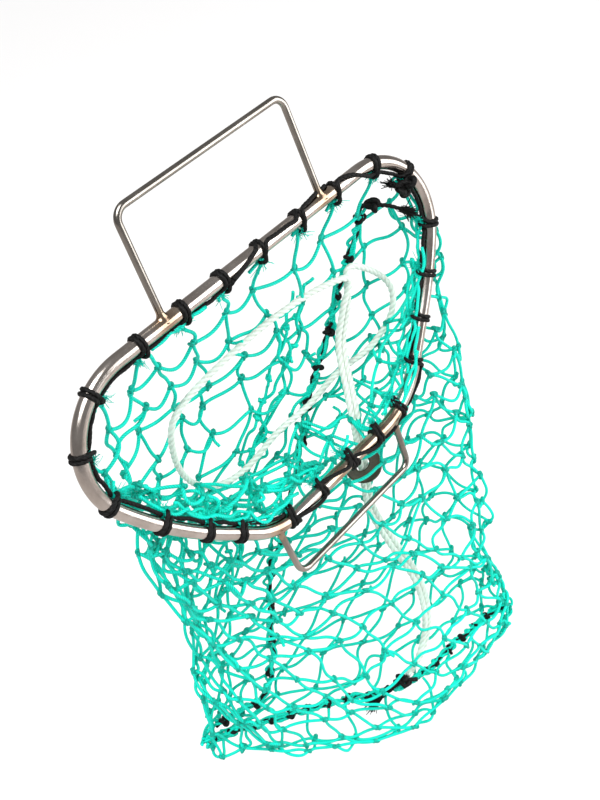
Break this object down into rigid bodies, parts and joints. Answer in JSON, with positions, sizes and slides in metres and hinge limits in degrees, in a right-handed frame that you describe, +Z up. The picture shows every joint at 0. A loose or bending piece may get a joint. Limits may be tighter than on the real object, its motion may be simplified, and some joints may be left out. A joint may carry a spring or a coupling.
{
  "type": "landing net",
  "caption": "Hand-held landing net: a bent steel tube hoop with two welded bail handles, a laced knotted-mesh bag with a bottom seam, and a doubled pull rope with a sliding toggle.",
  "frame": {"origin": "middle of the upper handle's grip, where a hand holds the net", "axes": "+Z up as the net hangs from the hand, +X along the upper handle, +Y away from the mouth of the bag"},
  "size_m": [0.2752, 0.1265, 0.4209],
  "materials": {
    "steel": "brushed stainless tube and rod, fine lengthwise grain",
    "net_twine": "twisted polyethylene twine, knotted, slight sheen",
    "lacing_cord": "black twisted cord, matt",
    "rope": "pale three-strand twisted rope",
    "toggle": "dark olive-brown moulded disc, worn"
  },
  "bodies": {
    "net": {"hoop": "steel", "upper_handle": "steel", "lower_handle": "steel", "weld_upper_left": "steel", "weld_upper_right": "steel", "weld_lower_left": "steel", "weld_lower_right": "steel", "lacing_stitch_01": "lacing_cord", "lacing_stitch_02": "lacing_cord", "lacing_stitch_03": "lacing_cord", "lacing_stitch_04": "lacing_cord", "lacing_stitch_05": "lacing_cord", "lacing_stitch_06": "lacing_cord", "lacing_stitch_07": "lacing_cord", "lacing_stitch_08": "lacing_cord", "lacing_stitch_09": "lacing_cord", "lacing_stitch_10": "lacing_cord", "lacing_stitch_11": "lacing_cord", "lacing_stitch_12": "lacing_cord", "lacing_stitch_13": "lacing_cord", "lacing_stitch_14": "lacing_cord", "lacing_stitch_15": "lacing_cord", "lacing_stitch_16": "lacing_cord", "lacing_stitch_17": "lacing_cord", "lacing_stitch_18": "lacing_cord", "lacing_stitch_19": "lacing_cord", "lacing_stitch_20": "lacing_cord", "lacing_stitch_21": "lacing_cord", "lacing_stitch_22": "lacing_cord", "lacing_stitch_23": "lacing_cord", "lacing_end_knot": "lacing_cord", "net_back": "net_twine", "net_front": "net_twine", "side_seam": "lacing_cord", "bottom_seam": "lacing_cord", "side_seam_knot": "lacing_cord", "pull_rope": "rope", "rope_anchor_knot": "lacing_cord"},
    "toggle": {"toggle": "toggle"}
  },
  "joints": [
    {"name": "toggle_slide", "type": "slide", "parent": "net", "child": "toggle", "axis": [0, 0, 1], "range_m": [-0.026, 0.026]}
  ]
}
